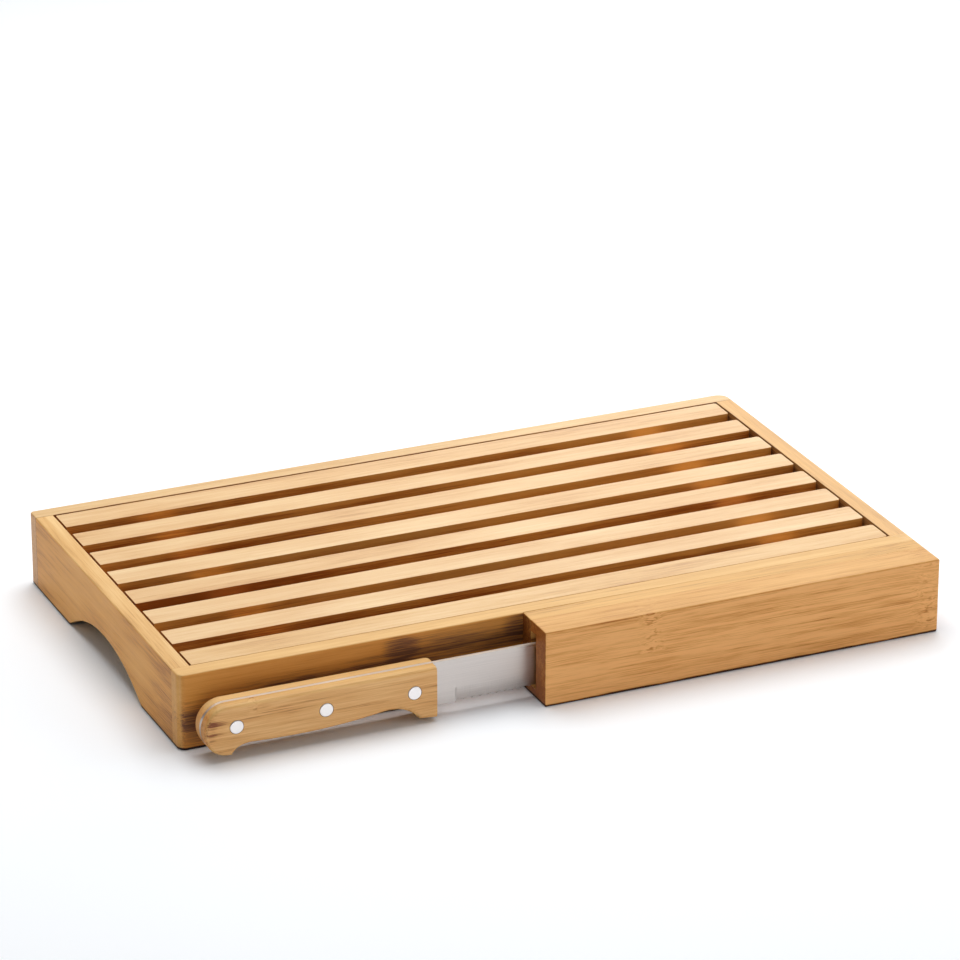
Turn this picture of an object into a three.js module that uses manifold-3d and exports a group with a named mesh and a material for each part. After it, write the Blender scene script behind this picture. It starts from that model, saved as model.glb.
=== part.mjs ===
// A bamboo bread board: a frame with a crumb tray, a lift-out slatted grid and a bread knife that
// slides into a slotted block along the front. Millimetres, +Z up, +X along the board, the knife on
// the -Y side, and the origin on the table under the middle of the whole outline.
import * as THREE from 'three';
import { mergeVertices } from 'three/addons/utils/BufferGeometryUtils.js';
import Module from 'manifold-3d';

// Frame: two long rails with two end panels butted between them
const boardLength = 400;
const boardHeight = 40;
const frameDepth = 216.4;
const stockThickness = 9.4;
const backLeftRadius = 2;
const backRightRadius = 6;
const frontLeftRadius = 4;

// Grip arch in the foot of each end panel
const archSpan = 106.5;
const archRise = 16;
const archFromBack = 56.5;

// Crumb tray floor, held in a groove that runs round the inside of the frame, and the space for
// crumbs between it and the slats
const floorThickness = 4;
const crumbDepth = 6;
const grooveDepth = 4;

// Knife block: an inner ply, and an outer board with the knife slot routed into its back
const blockLength = 219;
const slotFloor = 4.9;
const slotEndWall = 14;
const slotSideClearance = 2.2;
const slotHeadroom = 5.5;
const slotTipClearance = 5;
const cheekThickness = 11;
const blockCornerRadius = 1;

// Grid: slats halved over two cross battens
const slatCount = 8;
const slatWidth = 16.2;
const slatThickness = 10;
const slatCornerRadius = 1.5;
const battenWidth = 20;
const battenInset = 49.5;
const notchDepth = 5;
const gridSideClearance = 1.1;
const gridBackClearance = 1.2;
const gridFrontClearance = 0.4;

// Knife blade and the full tang behind it
const bladeHeight = 23.4;
const bladeThickness = 1.8;
const bladeSeatGap = 0.6;
const heelLength = 10.2;
const bevelHeight = 7.6;
const edgeThickness = 0.5;
const scallopPitch = 4.4;
const scallopDepth = 0.8;
const tipLength = 45;
const tipNoseHeight = 3;
const drawnOut = 51.8;

// Handle outline, measured from the front end of the handle and from the line of the tooth tips
const handleLength = 123.3;
const buttRadius = 12.4;
const hookDrop = 3;
const hookFlat = 1.6;
const hookRun = 10.5;
const gripClearance = 1.9;
const scoopHeight = 4.4;
const scoopFromFront = 30.7;
const lipLength = 11.3;
const lipHeelDrop = 3;
const lipToeDrop = 3.9;
const lipCornerRadius = 2.2;
const topCornerRadius = 3;
const scaleThickness = 6;
const frontScaleSetBack = 2.6;
const handleRoundover = 1.5;

// Compression rivets through the handle
const rivetHeadRadius = 3.5;
const rivetHeadDepth = 3;
const rivetShankRadius = 2;
const rivetProud = 0.2;
const rivetChamfer = 0.25;
const rivetCount = 3;
const firstRivetFromFront = 14.4;
const lastRivetFromButt = 16.3;
const rivetHeight = 12;

// Fullness of the free curves, as shares of the runs and rises that they follow
const hookPullShare = 0.25;
const gripRunShares = [0.33, 0.67];
const gripDipShares = [0.33, 0.5];
const scoopRunShares = [0.5, 0.75];
const scoopRiseShares = [0.13, -0.25];
const tipRiseShare = 0.5;
const tipRunShare = 0.5;

// Clearances: between glued flat faces, round a fitted piece, past a surface that a cut leaves, and
// between points of an outline that count as one
const glueGap = 0.1;
const fitGap = 0.3;
const overrun = 2;
const pointMerge = 0.001;

// Smoothness of round stretches, as counts of straight pieces
const cornerSteps = 6;
const archSteps = 28;
const curveSteps = 10;
const scallopSteps = 4;
const roundoverSteps = 3;
const rivetSteps = 32;

// Worked-out sizes and places of the frame and its knife block
const slotWidth = bladeThickness + 2 * slotSideClearance;
const slotHeight = bladeSeatGap + bladeHeight + slotHeadroom;
const blockDepth = stockThickness + slotWidth + cheekThickness;
const boardDepth = frameDepth + blockDepth;
const left = -boardLength / 2;
const right = boardLength / 2;
const back = boardDepth / 2;
const frameFront = back - frameDepth;
const blockLeft = right - blockLength;
const innerPlyFront = frameFront - stockThickness;
const slotFront = innerPlyFront - slotWidth;
const blockFront = slotFront - cheekThickness;
const trayLeft = left + stockThickness;
const trayRight = right - stockThickness;
const trayBack = back - stockThickness;
const trayFront = frameFront + stockThickness;
const slatUnderside = boardHeight - slatThickness;
const floorTop = slatUnderside - crumbDepth;
const floorUnderside = floorTop - floorThickness;

// Worked-out sizes and places of the grid
const gridBack = trayBack - gridBackClearance;
const gridFront = trayFront + gridFrontClearance;
const gridLeft = trayLeft + gridSideClearance;
const gridRight = trayRight - gridSideClearance;
const slatPitch = (gridBack - gridFront - slatWidth) / (slatCount - 1);
const battenTop = boardHeight - notchDepth;
const battenMiddles = [gridLeft + battenInset, gridRight - battenInset];

// Worked-out sizes of the knife, whose own frame has X = 0 at the front end of the handle, Y = 0 in
// the middle of the blade's thickness and Z = 0 on the line of the tooth tips
const bladeLength = blockLength - slotEndWall - slotTipClearance;
const handleThickness = bladeThickness + 2 * scaleThickness;
const buttMiddle = bladeHeight - buttRadius;

const wasm = await Module();
wasm.setup();

const bamboo = new THREE.MeshStandardMaterial({ color: 0xe0b57c, roughness: 0.55, metalness: 0 });
const darkBamboo = new THREE.MeshStandardMaterial({ color: 0xc8965f, roughness: 0.6, metalness: 0 });
const paleBamboo = new THREE.MeshStandardMaterial({ color: 0xf3cf9c, roughness: 0.5, metalness: 0 });
const steel = new THREE.MeshStandardMaterial({ color: 0xb8b5b0, roughness: 0.3, metalness: 1 });
const aluminium = new THREE.MeshStandardMaterial({ color: 0xe6e6e8, roughness: 0.35, metalness: 1 });

/** A closed geometry as a solid that can be joined and cut. */
function toSolid(geometry) {
  const bare = geometry.clone();
  bare.deleteAttribute('normal');
  bare.deleteAttribute('uv');
  const merged = mergeVertices(bare);
  const vertProperties = new Float32Array(merged.attributes.position.array);
  const triVerts = new Uint32Array(merged.index.array);
  return new wasm.Manifold(new wasm.Mesh({ numProp: 3, vertProperties, triVerts }));
}

/** A solid back as a geometry with normals. */
function toGeometry(solid) {
  const mesh = solid.getMesh();
  const geometry = new THREE.BufferGeometry();
  geometry.setAttribute('position', new THREE.BufferAttribute(mesh.vertProperties, mesh.numProp));
  geometry.setIndex(new THREE.BufferAttribute(mesh.triVerts, 1));
  geometry.computeVertexNormals();
  return geometry;
}

/** A box between two corners. */
function boxBetween(low, high) {
  const [x0, y0, z0] = low;
  const [x1, y1, z1] = high;
  const geometry = new THREE.BoxGeometry(x1 - x0, y1 - y0, z1 - z0);
  return geometry.translate((x0 + x1) / 2, (y0 + y1) / 2, (z0 + z1) / 2);
}

/** A plan outline carried up from one height to another. */
function plateUp(shape, bottom, top) {
  const options = { depth: top - bottom, bevelEnabled: false, curveSegments: cornerSteps };
  return new THREE.ExtrudeGeometry(shape, options).translate(0, 0, bottom);
}

/** An outline drawn in Y and Z, carried along X from one end to the other. */
function profileAlongX(shape, start, end, steps) {
  const options = { depth: end - start, bevelEnabled: false, curveSegments: steps };
  const turn = new THREE.Matrix4().makeBasis(
    new THREE.Vector3(0, 1, 0), new THREE.Vector3(0, 0, 1), new THREE.Vector3(1, 0, 0));
  return new THREE.ExtrudeGeometry(shape, options).applyMatrix4(turn).translate(start, 0, 0);
}

/** The outline as plain points, with each point that repeats the one before it left out. */
function cleanOutline(shape, steps) {
  const points = shape.getPoints(steps);
  const kept = points.filter((point, index) => {
    const before = points[(index + points.length - 1) % points.length];
    return point.distanceTo(before) > pointMerge;
  });
  return new THREE.Shape(kept);
}

/** A side outline drawn in X and Z, as a plate of one thickness centred on Y = 0. */
function plateAcrossY(shape, thickness, roundover, steps) {
  const options = {
    depth: thickness - 2 * roundover,
    bevelEnabled: roundover > 0,
    bevelThickness: roundover,
    bevelSize: roundover,
    bevelOffset: -roundover,
    bevelSegments: roundoverSteps,
  };
  const outline = cleanOutline(shape, steps);
  const turn = new THREE.Matrix4().makeBasis(
    new THREE.Vector3(1, 0, 0), new THREE.Vector3(0, 0, 1), new THREE.Vector3(0, -1, 0));
  const middle = thickness / 2 - roundover;
  return new THREE.ExtrudeGeometry(outline, options).applyMatrix4(turn).translate(0, middle, 0);
}

/** A rectangle with a radius for each corner, in the order front left, front right and so round. */
function roundedRectangle(x0, y0, x1, y1, frontLeft, frontRight, backRight, backLeft) {
  const shape = new THREE.Shape();
  shape.moveTo(x0 + frontLeft, y0);
  shape.lineTo(x1 - frontRight, y0);
  if (frontRight > 0) shape.absarc(x1 - frontRight, y0 + frontRight, frontRight, -Math.PI / 2, 0);
  shape.lineTo(x1, y1 - backRight);
  if (backRight > 0) shape.absarc(x1 - backRight, y1 - backRight, backRight, 0, Math.PI / 2);
  shape.lineTo(x0 + backLeft, y1);
  if (backLeft > 0) shape.absarc(x0 + backLeft, y1 - backLeft, backLeft, Math.PI / 2, Math.PI);
  shape.lineTo(x0, y0 + frontLeft);
  if (frontLeft > 0) {
    shape.absarc(x0 + frontLeft, y0 + frontLeft, frontLeft, Math.PI, (3 * Math.PI) / 2);
  }
  return shape;
}

/** A named mesh. */
function namedMesh(name, geometry, material) {
  const mesh = new THREE.Mesh(geometry, material);
  mesh.name = name;
  return mesh;
}

/** The space that the floor and its clearance take up, for the groove in all four boards. */
function floorGroove() {
  return toSolid(boxBetween(
    [trayLeft - grooveDepth, trayFront - grooveDepth, floorUnderside - fitGap],
    [trayRight + grooveDepth, trayBack + grooveDepth, floorTop + fitGap]));
}

/** The rail along the back, with its two outer corners rounded. */
function buildBackRail() {
  const outline = roundedRectangle(
    left, trayBack, right, back, 0, 0, backRightRadius, backLeftRadius);
  const rail = toSolid(plateUp(outline, 0, boardHeight));
  return namedMesh('back_rail', toGeometry(rail.subtract(floorGroove())), bamboo);
}

/** The rail along the front, which carries the knife block; its free corner is rounded. */
function buildFrontRail() {
  const outline = roundedRectangle(
    left, frameFront, right, trayFront, frontLeftRadius, 0, 0, 0);
  const rail = toSolid(plateUp(outline, 0, boardHeight));
  return namedMesh('front_rail', toGeometry(rail.subtract(floorGroove())), bamboo);
}

/** The side view of an end panel, with the grip arch as one circular arc. */
function endPanelOutline() {
  const panelFront = trayFront + glueGap;
  const panelBack = trayBack - glueGap;
  const archBack = back - archFromBack;
  const archFront = archBack - archSpan;
  const archMiddle = (archBack + archFront) / 2;
  const archRadius = ((archSpan / 2) ** 2 + archRise ** 2) / (2 * archRise);
  const archCentre = archRise - archRadius;
  const halfAngle = Math.asin(archSpan / 2 / archRadius);
  const archStart = Math.PI / 2 + halfAngle;
  const archEnd = Math.PI / 2 - halfAngle;
  const shape = new THREE.Shape();
  shape.moveTo(panelFront, 0);
  shape.lineTo(archFront, 0);
  shape.absarc(archMiddle, archCentre, archRadius, archStart, archEnd, true);
  shape.lineTo(panelBack, 0);
  shape.lineTo(panelBack, boardHeight);
  shape.lineTo(panelFront, boardHeight);
  shape.closePath();
  return shape;
}

/** An end panel between the rails, from one X to another. */
function buildEndPanel(name, start, end) {
  const panel = toSolid(profileAlongX(endPanelOutline(), start, end, archSteps));
  return namedMesh(name, toGeometry(panel.subtract(floorGroove())), bamboo);
}

/** The floor of the crumb tray, with its rim in the groove. */
function buildFloorPanel() {
  const reach = grooveDepth - fitGap;
  const panel = boxBetween(
    [trayLeft - reach, trayFront - reach, floorUnderside],
    [trayRight + reach, trayBack + reach, floorTop]);
  return namedMesh('floor_panel', panel, darkBamboo);
}

/** The inner ply of the knife block, glued to the front rail. */
function buildBlockInner() {
  const ply = boxBetween(
    [blockLeft, innerPlyFront, 0],
    [right, frameFront - glueGap, boardHeight]);
  return namedMesh('knife_block_inner', ply, bamboo);
}

/** The outer board of the knife block, with the slot that the blade slides into. */
function buildBlockOuter() {
  const outerBack = innerPlyFront - glueGap;
  const outline = roundedRectangle(
    blockLeft, blockFront, right, outerBack, 0, blockCornerRadius, 0, 0);
  const board = toSolid(plateUp(outline, 0, boardHeight));
  const slot = toSolid(boxBetween(
    [blockLeft - overrun, slotFront, slotFloor],
    [right - slotEndWall, innerPlyFront + overrun, slotFloor + slotHeight]));
  return namedMesh('knife_block_outer', toGeometry(board.subtract(slot)), bamboo);
}

/** The fixed pieces: rails, end panels, floor and knife block. */
function buildFrame() {
  const frame = new THREE.Group();
  frame.add(buildBackRail());
  frame.add(buildFrontRail());
  frame.add(buildEndPanel('left_end_panel', left, trayLeft));
  frame.add(buildEndPanel('right_end_panel', trayRight, right));
  frame.add(buildFloorPanel());
  frame.add(buildBlockInner());
  frame.add(buildBlockOuter());
  return frame;
}

/** A cross batten under the slats, lying on the tray floor. */
function buildBatten(name, middle) {
  const batten = boxBetween(
    [middle - battenWidth / 2, gridFront, floorTop + fitGap],
    [middle + battenWidth / 2, gridBack, battenTop - glueGap]);
  return namedMesh(name, batten, darkBamboo);
}

/** A slat, counted from the back, notched over both battens and rounded at its right end. */
function buildSlat(index) {
  const slatBack = gridBack - index * slatPitch;
  const slatFront = slatBack - slatWidth;
  const outline = roundedRectangle(
    gridLeft, slatFront, gridRight, slatBack, 0, slatCornerRadius, slatCornerRadius, 0);
  const halfNotch = battenWidth / 2 + fitGap;
  let slat = toSolid(plateUp(outline, slatUnderside, boardHeight));
  for (const middle of battenMiddles) {
    const notch = boxBetween(
      [middle - halfNotch, slatFront - overrun, slatUnderside - overrun],
      [middle + halfNotch, slatBack + overrun, battenTop]);
    slat = slat.subtract(toSolid(notch));
  }
  return namedMesh(`slat_${index + 1}`, toGeometry(slat), paleBamboo);
}

/** The lift-out grid: two battens with the slats across them. */
function buildGrid() {
  const [leftMiddle, rightMiddle] = battenMiddles;
  const grid = new THREE.Group();
  grid.add(buildBatten('grid_batten_left', leftMiddle));
  grid.add(buildBatten('grid_batten_right', rightMiddle));
  for (let index = 0; index < slatCount; index += 1) grid.add(buildSlat(index));
  return grid;
}

/** The side view of the handle and of the tang inside it, anticlockwise from the top front corner. */
function handleOutline() {
  const buttX = buttRadius - handleLength;
  const hookX = buttX + hookFlat;
  const gripX = hookX + hookRun;
  const gripRun = -scoopFromFront - gripX;
  const scoopRun = scoopFromFront - lipLength;
  const scoopRise = scoopHeight + lipHeelDrop;
  const shape = new THREE.Shape();
  shape.moveTo(-topCornerRadius, bladeHeight);
  shape.lineTo(buttX, bladeHeight);
  shape.absarc(buttX, buttMiddle, buttRadius, Math.PI / 2, Math.PI);
  shape.absellipse(buttX, buttMiddle, buttRadius, buttMiddle + hookDrop, Math.PI, (3 * Math.PI) / 2);
  shape.lineTo(hookX, -hookDrop);
  shape.quadraticCurveTo(hookX + hookPullShare * hookRun, gripClearance, gripX, gripClearance);
  shape.bezierCurveTo(
    gripX + gripRunShares[0] * gripRun, gripDipShares[0] * gripClearance,
    gripX + gripRunShares[1] * gripRun, gripDipShares[1] * gripClearance,
    -scoopFromFront, scoopHeight);
  shape.bezierCurveTo(
    scoopRunShares[0] * scoopRun - scoopFromFront, scoopHeight + scoopRiseShares[0] * scoopRise,
    scoopRunShares[1] * scoopRun - scoopFromFront, scoopHeight + scoopRiseShares[1] * scoopRise,
    -lipLength, -lipHeelDrop);
  shape.lineTo(-lipCornerRadius, -lipToeDrop);
  shape.absarc(-lipCornerRadius, lipCornerRadius - lipToeDrop, lipCornerRadius, -Math.PI / 2, 0);
  shape.lineTo(0, bladeHeight - topCornerRadius);
  shape.absarc(-topCornerRadius, bladeHeight - topCornerRadius, topCornerRadius, 0, Math.PI / 2);
  return shape;
}

/** The side view of the blade, with a plain heel, scallops to the nose and a dropped tip. */
function bladeOutline() {
  const toothRun = bladeLength - heelLength - tipNoseHeight;
  const scallopCount = Math.floor(toothRun / scallopPitch);
  const tipMiddle = tipNoseHeight + tipRiseShare * (bladeHeight - tipNoseHeight);
  const shape = new THREE.Shape();
  shape.moveTo(-lipLength, bladeHeight);
  shape.lineTo(-lipLength, 0);
  shape.lineTo(heelLength, 0);
  for (let index = 0; index < scallopCount; index += 1) {
    const start = heelLength + index * scallopPitch;
    for (let step = 1; step <= scallopSteps; step += 1) {
      const share = step / scallopSteps;
      const rise = 4 * scallopDepth * share * (1 - share);
      shape.lineTo(start + share * scallopPitch, rise);
    }
  }
  shape.quadraticCurveTo(bladeLength, 0, bladeLength, tipNoseHeight);
  shape.bezierCurveTo(
    bladeLength, tipMiddle,
    bladeLength - tipRunShare * tipLength, bladeHeight,
    bladeLength - tipLength, bladeHeight);
  shape.closePath();
  return shape;
}

/** The wedge that grinds the front face of the blade down to its edge. */
function bevelWedge() {
  const face = -bladeThickness / 2;
  const edge = bladeThickness / 2 - edgeThickness;
  const shape = new THREE.Shape();
  shape.moveTo(face, bevelHeight);
  shape.lineTo(face - overrun, bevelHeight);
  shape.lineTo(face - overrun, -overrun);
  shape.lineTo(edge, -overrun);
  shape.lineTo(edge, 0);
  shape.closePath();
  return toSolid(profileAlongX(shape, heelLength, bladeLength + overrun, 1));
}

/** The places of the rivets along the handle. */
function rivetPlaces() {
  const first = -firstRivetFromFront;
  const last = lastRivetFromButt - handleLength;
  const places = [];
  for (let index = 0; index < rivetCount; index += 1) {
    places.push(first + (index * (last - first)) / (rivetCount - 1));
  }
  return places;
}

/** A pin across the handle, for cutting holes. */
function crossPin(x, radius, start, end) {
  const pin = new THREE.CylinderGeometry(radius, radius, end - start, rivetSteps);
  return toSolid(pin.translate(x, (start + end) / 2, rivetHeight));
}

/** The blade and its full tang in one piece, ground to an edge and bored for the rivets. */
function buildBlade() {
  const tang = toSolid(plateAcrossY(handleOutline(), bladeThickness, 0, curveSteps));
  const plate = toSolid(plateAcrossY(bladeOutline(), bladeThickness, 0, curveSteps));
  let blade = tang.add(plate).subtract(bevelWedge());
  const half = bladeThickness / 2 + overrun;
  for (const x of rivetPlaces()) {
    blade = blade.subtract(crossPin(x, rivetShankRadius + fitGap, -half, half));
  }
  return namedMesh('knife_blade', toGeometry(blade), steel);
}

/** A handle scale on one side of the tang (-1 front, 1 rear), bored for the rivets. */
function buildScale(name, side, frontEnd) {
  const inner = bladeThickness / 2 + glueGap;
  const outer = handleThickness / 2;
  const low = Math.min(side * inner, side * (outer + overrun));
  const high = Math.max(side * inner, side * (outer + overrun));
  const blank = toSolid(plateAcrossY(handleOutline(), handleThickness, handleRoundover, curveSteps));
  const half = toSolid(boxBetween(
    [-handleLength - overrun, low, -lipToeDrop - overrun],
    [frontEnd, high, bladeHeight + overrun]));
  let scale = blank.intersect(half);
  const headSeat = outer - rivetHeadDepth - fitGap;
  const boreLow = Math.min(side * headSeat, side * (outer + overrun));
  const boreHigh = Math.max(side * headSeat, side * (outer + overrun));
  for (const x of rivetPlaces()) {
    scale = scale.subtract(crossPin(x, rivetShankRadius + fitGap, -outer - overrun, outer + overrun));
    scale = scale.subtract(crossPin(x, rivetHeadRadius + fitGap, boreLow, boreHigh));
  }
  return namedMesh(name, toGeometry(scale), bamboo);
}

/** A rivet at one place along the handle: two flat heads on a thinner shank, turned about Y. */
function buildRivet(name, x) {
  const end = handleThickness / 2 + rivetProud;
  const shoulder = handleThickness / 2 - rivetHeadDepth;
  const rim = rivetHeadRadius - rivetChamfer;
  const points = [
    [0, -end],
    [rim, -end],
    [rivetHeadRadius, rivetChamfer - end],
    [rivetHeadRadius, -shoulder],
    [rivetShankRadius, -shoulder],
    [rivetShankRadius, shoulder],
    [rivetHeadRadius, shoulder],
    [rivetHeadRadius, end - rivetChamfer],
    [rim, end],
    [0, end],
  ];
  const profile = points.map(([radius, along]) => new THREE.Vector2(radius, along));
  const rivet = namedMesh(name, new THREE.LatheGeometry(profile, rivetSteps), aluminium);
  rivet.position.set(x, 0, rivetHeight);
  return rivet;
}

/** The bread knife, part way into its slot. */
function buildKnife() {
  const knife = new THREE.Group();
  knife.add(buildBlade());
  knife.add(buildScale('handle_scale_front', -1, -frontScaleSetBack));
  knife.add(buildScale('handle_scale_rear', 1, overrun));
  rivetPlaces().forEach((x, index) => knife.add(buildRivet(`handle_rivet_${index + 1}`, x)));
  const slotMiddle = (slotFront + innerPlyFront) / 2;
  knife.position.set(blockLeft - drawnOut, slotMiddle, slotFloor + bladeSeatGap);
  return knife;
}

const breadBoard = new THREE.Group();
breadBoard.add(buildFrame());
breadBoard.add(buildGrid());
breadBoard.add(buildKnife());

export default breadBoard;
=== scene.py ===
"""The looks of a bamboo bread board: a slatted grid over a crumb tray, and a knife in its block.

Everything is modelled in millimetres in the frame of the CAD model and published in metres.
"""

import logging
import math
from collections.abc import Callable, Iterable, Sequence
from dataclasses import dataclass, field
from enum import Enum

import bmesh
import bpy
from mathutils import Matrix, Vector
from mathutils.geometry import interpolate_bezier


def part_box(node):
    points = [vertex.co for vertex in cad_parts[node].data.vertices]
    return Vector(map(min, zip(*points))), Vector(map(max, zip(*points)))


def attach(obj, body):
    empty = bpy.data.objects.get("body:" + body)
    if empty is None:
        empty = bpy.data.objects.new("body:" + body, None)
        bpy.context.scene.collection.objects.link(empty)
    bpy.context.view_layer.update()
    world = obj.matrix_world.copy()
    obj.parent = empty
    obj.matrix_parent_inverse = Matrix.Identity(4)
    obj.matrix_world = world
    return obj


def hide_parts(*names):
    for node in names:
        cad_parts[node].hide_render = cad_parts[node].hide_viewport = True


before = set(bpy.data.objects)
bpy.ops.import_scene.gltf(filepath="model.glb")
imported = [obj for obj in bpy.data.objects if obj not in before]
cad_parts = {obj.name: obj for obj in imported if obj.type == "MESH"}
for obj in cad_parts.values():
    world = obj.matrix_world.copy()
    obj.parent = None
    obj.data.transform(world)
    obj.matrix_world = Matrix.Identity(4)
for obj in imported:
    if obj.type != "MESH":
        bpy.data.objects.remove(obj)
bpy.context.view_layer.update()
log = logging.getLogger("bread_board")

MM = 0.001
TOLERANCE = 0.001
SHARP_EDGE = math.radians(30)
CREASE = math.radians(50)
FLAT = math.radians(0.1)
OVERRUN = 5.0
TURNED_STEPS = 64
CIRCLE_PULL = 0.5523
SEED_STEPS = (517.3, 91.7, 43.1)

Colour = tuple[float, float, float]
Place = tuple[float, float, float]
Point = tuple[float, float]
Socket = bpy.types.NodeSocket


class Drawing(Enum):
    """The plane that an outline is drawn in."""

    FRONT = "X and Z"
    END = "Y and Z"

    def point(self, across: float, up: float, depth: float) -> Vector:
        """Gives the point of space at a place of the drawing and a depth square to it."""
        return Vector((across, depth, up) if self is Drawing.FRONT else (depth, across, up))

    def turn_axis(self) -> Vector:
        """Gives the axis that a turn from the first axis to the second goes about."""
        return Vector((0, -1, 0) if self is Drawing.FRONT else (1, 0, 0))


class Grain(Enum):
    """The way the fibres of a piece of bamboo run."""

    ALONG_X = 0.0
    ALONG_Y = -90.0

    def turn(self) -> float:
        """Gives the turn about Z, in radians, that lays the fibres along X."""
        return math.radians(self.value)


class Lay(Enum):
    """How a glue seam lies in a board."""

    LEVEL = "at a height"
    UPRIGHT = "at a place across the fibres"


class Figure(Enum):
    """The patterns of bamboo: turns per millimetre along the fibres and across them."""

    CLOUDS = (0.011, 0.06)
    STREAKS = (0.016, 0.5)
    FIBRES = (0.045, 2.1)
    THREADS = (0.14, 6.0)
    BUNDLES = (0.07, 2.3)
    BANDS = (0.02, 0.16)
    SWELLS = (0.05, 0.16)
    PORES = (0.02, 1.25)

    def scale(self) -> tuple[float, float, float]:
        """Gives the turns per millimetre along X, Y and Z."""
        along, across = self.value
        return along, across, across


def node_box(node: str) -> tuple[Vector, Vector]:
    """Gives the lowest and the highest corner of a CAD node in millimetres."""
    low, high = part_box(node)
    return low / MM, high / MM


def inside(point: Vector, low: Vector, high: Vector, margin: float, axes: int = 3) -> bool:
    """Says whether a point is in a box that is widened by a margin, seen along some axes."""
    return all(low[i] - margin < point[i] < high[i] + margin for i in range(axes))


def arc_over(chord: float, rise: float) -> tuple[float, float]:
    """Gives the radius of an arc and its turn in degrees."""
    radius = ((chord / 2) ** 2 + rise ** 2) / (2 * rise)
    return radius, 2 * math.degrees(math.asin(chord / 2 / radius))


def add_object(name: str, data: bpy.types.ID) -> bpy.types.Object:
    """Puts an object into the scene.

    Args:
        name: Name of the object.
        data: Its mesh, light or camera.

    Returns:
        The object.
    """
    made = bpy.data.objects.new(name, data)
    bpy.context.scene.collection.objects.link(made)
    return made


def add_mesh(name: str, mesh: bmesh.types.BMesh) -> bpy.types.Object:
    """Puts a working mesh into the scene and frees it.

    Args:
        name: Name of the object.
        mesh: The mesh.

    Returns:
        The object.
    """
    data = bpy.data.meshes.new(name)
    mesh.to_mesh(data)
    mesh.free()
    return add_object(name, data)


class Outline:
    """A closed line drawn point by point, then filled and thickened into a solid."""

    def __init__(self, drawing: Drawing, start: Point, depth: float) -> None:
        """Starts the line.

        Args:
            drawing: Plane of the outline.
            start: Its first point.
            depth: Place of the whole outline square to the drawing.
        """
        self.drawing = drawing
        self.depth = depth
        self.mesh = bmesh.new()
        self.pen = self.mesh.verts.new(drawing.point(*start, depth))

    def _reach(self, spot: Vector) -> None:
        """Draws a straight stretch to a point of space."""
        last, self.pen = self.pen, self.mesh.verts.new(spot)
        self.mesh.edges.new((last, self.pen))

    def line(self, *points: Point) -> None:
        """Draws straight stretches through points of the drawing."""
        for point in points:
            self._reach(self.drawing.point(*point, self.depth))

    def arc(self, centre: Point, degrees: float, steps: int) -> None:
        """Draws a round stretch.

        Args:
            centre: Its centre.
            degrees: Turn from the first axis towards the second.
            steps: Number of straight pieces.
        """
        made = bmesh.ops.spin(
            self.mesh, geom=[self.pen], cent=self.drawing.point(*centre, self.depth),
            axis=self.drawing.turn_axis(), angle=math.radians(degrees), steps=steps,
            dvec=(0, 0, 0), use_merge=False, use_duplicate=False)
        self.pen = next(v for v in made["geom_last"] if isinstance(v, bmesh.types.BMVert))

    def curve(self, first: Point, second: Point, end: Point, steps: int) -> None:
        """Draws a free curve.

        Args:
            first: Point that pulls its start.
            second: Point that pulls its end.
            end: Its last point.
            steps: Number of straight pieces.
        """
        knots = [self.drawing.point(*place, self.depth) for place in (first, second, end)]
        for spot in interpolate_bezier(self.pen.co, *knots, steps + 1)[1:]:
            self._reach(spot)

    def thicken(self, thickness: float) -> "Blank":
        """Closes and fills the outline and draws it out square to its plane.

        Args:
            thickness: Signed distance.

        Returns:
            The solid as a blank.
        """
        mesh = self.mesh
        mesh.verts.ensure_lookup_table()
        if (mesh.verts[0].co - self.pen.co).length > TOLERANCE:
            mesh.edges.new((self.pen, mesh.verts[0]))
        bmesh.ops.remove_doubles(mesh, verts=mesh.verts[:], dist=TOLERANCE)
        bmesh.ops.edgeloop_fill(mesh, edges=mesh.edges[:])
        made = bmesh.ops.extrude_face_region(mesh, geom=mesh.faces[:])
        moved = [v for v in made["geom"] if isinstance(v, bmesh.types.BMVert)]
        bmesh.ops.translate(mesh, vec=self.drawing.point(0, 0, thickness), verts=moved)
        bmesh.ops.recalc_face_normals(mesh, faces=mesh.faces[:])
        return Blank(mesh)


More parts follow.
